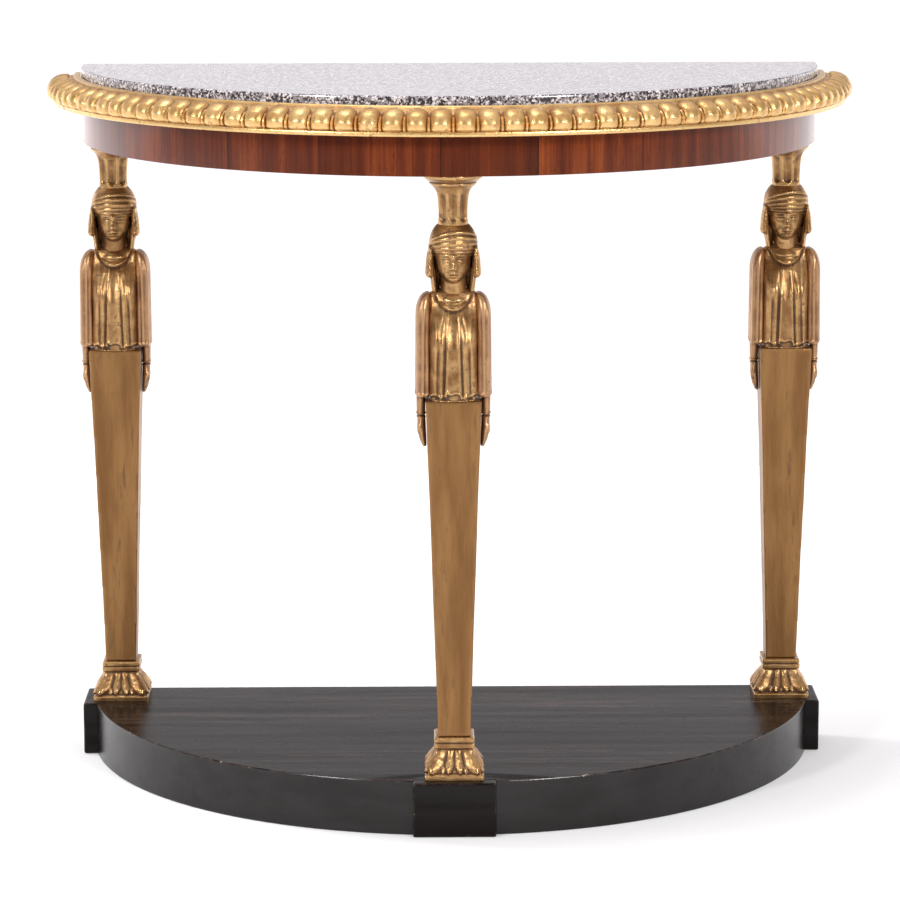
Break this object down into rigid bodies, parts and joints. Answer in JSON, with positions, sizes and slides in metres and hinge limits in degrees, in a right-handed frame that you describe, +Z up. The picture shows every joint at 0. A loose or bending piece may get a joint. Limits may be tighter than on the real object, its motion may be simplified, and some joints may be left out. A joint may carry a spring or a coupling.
{
  "type": "console table",
  "caption": "Half-round console table: loose stone slab in a gadrooned gilt border, veneered frieze, gilt herm-figure legs and a dark half-round plinth.",
  "frame": {"origin": "middle of the footprint, on the floor: below the middle of the bounding box", "axes": "+X to the viewer's right along the flat back, +Y out of the flat back to the wall, +Z up; the half round bulges towards -Y"},
  "size_m": [0.9852, 0.4926, 0.85],
  "materials": {
    "granite": "polished",
    "gilt_border": "gloss",
    "gilt_legs": "satin",
    "mahogany": "gloss",
    "carcass": "matte",
    "ebonised": "satin"
  },
  "bodies": {
    "table": {"border_length_1": "gilt_border", "border_length_2": "gilt_border", "border_length_3": "gilt_border", "border_length_4": "gilt_border", "subtop_rear": "carcass", "subtop_middle": "carcass", "subtop_front": "carcass", "frieze_lower_brick_1": "carcass", "frieze_lower_brick_2": "carcass", "frieze_upper_brick_1": "carcass", "frieze_upper_brick_2": "carcass", "frieze_upper_brick_3": "carcass", "frieze_veneer": "mahogany", "frieze_back_rail": "carcass", "frieze_left_block": "carcass", "frieze_centre_block": "carcass", "frieze_right_block": "carcass", "frieze_medial_rail": "carcass", "frieze_glue_blocks": "carcass", "left_capital": "gilt_legs", "left_bust": "gilt_legs", "left_figure_right_arm": "gilt_legs", "left_figure_left_arm": "gilt_legs", "left_shaft": "gilt_legs", "left_foot": "gilt_legs", "left_leg_tenons": "carcass", "centre_capital": "gilt_legs", "centre_bust": "gilt_legs", "centre_figure_right_arm": "gilt_legs", "centre_figure_left_arm": "gilt_legs", "centre_shaft": "gilt_legs", "centre_foot": "gilt_legs", "centre_leg_tenons": "carcass", "right_capital": "gilt_legs", "right_bust": "gilt_legs", "right_figure_right_arm": "gilt_legs", "right_figure_left_arm": "gilt_legs", "right_shaft": "gilt_legs", "right_foot": "gilt_legs", "right_leg_tenons": "carcass", "plinth_left_pad": "ebonised", "plinth_centre_pad": "ebonised", "plinth_right_pad": "ebonised", "plinth_rim_left_rear": "ebonised", "plinth_rim_left_front": "ebonised", "plinth_rim_right_front": "ebonised", "plinth_rim_right_rear": "ebonised", "plinth_back_rail": "carcass", "plinth_left_block": "carcass", "plinth_centre_block": "carcass", "plinth_right_block": "carcass", "plinth_glue_blocks": "carcass", "plinth_board_rear": "ebonised", "plinth_board_middle": "ebonised", "plinth_board_front": "ebonised"},
    "slab": {"stone_slab": "granite"}
  },
  "joints": [
    {"name": "slab_lift", "type": "slide", "parent": "table", "child": "slab", "axis": [0, 0, 1], "range_m": [0, 0.06]}
  ]
}
